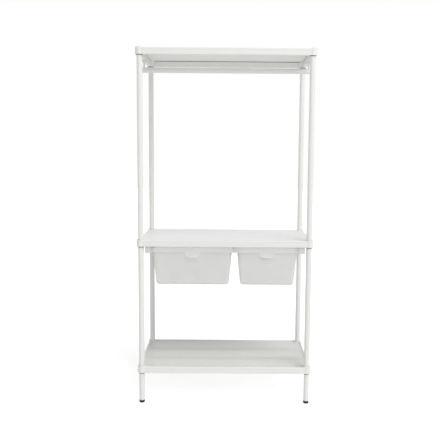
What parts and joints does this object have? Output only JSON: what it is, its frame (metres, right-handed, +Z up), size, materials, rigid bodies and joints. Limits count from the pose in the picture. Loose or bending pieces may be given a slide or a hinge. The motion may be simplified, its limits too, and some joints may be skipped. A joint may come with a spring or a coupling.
{
  "type": "open frame wardrobe",
  "caption": "Open metal wardrobe frame: round posts, folded steel shelves, a hanging rail and moulded drawers that slide under the middle shelf.",
  "frame": {"origin": "on the floor, under the middle of the frame", "axes": "+Z up, -Y to the front that the drawers pull out of, +X to the right as seen from the front"},
  "size_m": [0.9, 0.5, 1.82],
  "materials": {
    "white_paint": "smooth semi-gloss powder coat, warm white",
    "rail_paint": "semi-gloss powder coat on a round tube",
    "bracket_paint": "semi-gloss paint on cast metal",
    "mesh_paint": "powder coat on fine crossing wires",
    "drawer_plastic": "satin moulded polypropylene, pale grey white, lets light through",
    "sleeve_plastic": "matt moulded plastic, near black",
    "plug_plastic": "satin moulded plastic, warm white",
    "foot_plastic": "matt moulded, near black, on a zinc-plated stud",
    "screw_steel": "bright zinc plating"
  },
  "bodies": {
    "frame": {"bracket_screw_left_back": "screw_steel", "bracket_screw_left_front": "screw_steel", "bracket_screw_right_back": "screw_steel", "bracket_screw_right_front": "screw_steel", "clothes_rail": "rail_paint", "drawer_runner_centre": "white_paint", "drawer_runner_left": "white_paint", "drawer_runner_right": "white_paint", "foot_insert_back_left": "plug_plastic", "foot_insert_back_right": "plug_plastic", "foot_insert_front_left": "plug_plastic", "foot_insert_front_right": "plug_plastic", "post_back_left": "white_paint", "post_back_right": "white_paint", "post_front_left": "white_paint", "post_front_right": "white_paint", "post_plug_back_left": "plug_plastic", "post_plug_back_right": "plug_plastic", "post_plug_front_left": "plug_plastic", "post_plug_front_right": "plug_plastic", "rail_bracket_left": "bracket_paint", "rail_bracket_right": "bracket_paint", "runner_screw_centre_back": "screw_steel", "runner_screw_centre_front": "screw_steel", "runner_screw_left_back": "screw_steel", "runner_screw_left_front": "screw_steel", "runner_screw_right_back": "screw_steel", "runner_screw_right_front": "screw_steel", "shelf_bottom_frame": "white_paint", "shelf_bottom_mesh": "mesh_paint", "shelf_middle": "white_paint", "shelf_top": "white_paint", "sleeve_bottom_back_left": "sleeve_plastic", "sleeve_bottom_back_right": "sleeve_plastic", "sleeve_bottom_front_left": "sleeve_plastic", "sleeve_bottom_front_right": "sleeve_plastic", "sleeve_middle_back_left": "sleeve_plastic", "sleeve_middle_back_right": "sleeve_plastic", "sleeve_middle_front_left": "sleeve_plastic", "sleeve_middle_front_right": "sleeve_plastic", "sleeve_top_back_left": "sleeve_plastic", "sleeve_top_back_right": "sleeve_plastic", "sleeve_top_front_left": "sleeve_plastic", "sleeve_top_front_right": "sleeve_plastic", "stiffener_back": "white_paint", "stiffener_front": "white_paint"},
    "drawer_large": {"drawer_large": "drawer_plastic"},
    "drawer_small": {"drawer_small": "drawer_plastic"},
    "foot_front_left": {"foot_front_left": "foot_plastic"},
    "foot_front_right": {"foot_front_right": "foot_plastic"},
    "foot_back_left": {"foot_back_left": "foot_plastic"},
    "foot_back_right": {"foot_back_right": "foot_plastic"}
  },
  "joints": [
    {"name": "drawer_large_slide", "type": "slide", "parent": "frame", "child": "drawer_large", "axis": [0, -1, 0], "range_m": [0, 0.3]},
    {"name": "drawer_small_slide", "type": "slide", "parent": "frame", "child": "drawer_small", "axis": [0, -1, 0], "range_m": [0, 0.3]},
    {"name": "foot_front_left_level", "type": "slide", "parent": "frame", "child": "foot_front_left", "axis": [0, 0, -1], "range_m": [0, 0.01]},
    {"name": "foot_front_right_level", "type": "slide", "parent": "frame", "child": "foot_front_right", "axis": [0, 0, -1], "range_m": [0, 0.01]},
    {"name": "foot_back_left_level", "type": "slide", "parent": "frame", "child": "foot_back_left", "axis": [0, 0, -1], "range_m": [0, 0.01]},
    {"name": "foot_back_right_level", "type": "slide", "parent": "frame", "child": "foot_back_right", "axis": [0, 0, -1], "range_m": [0, 0.01]}
  ]
}
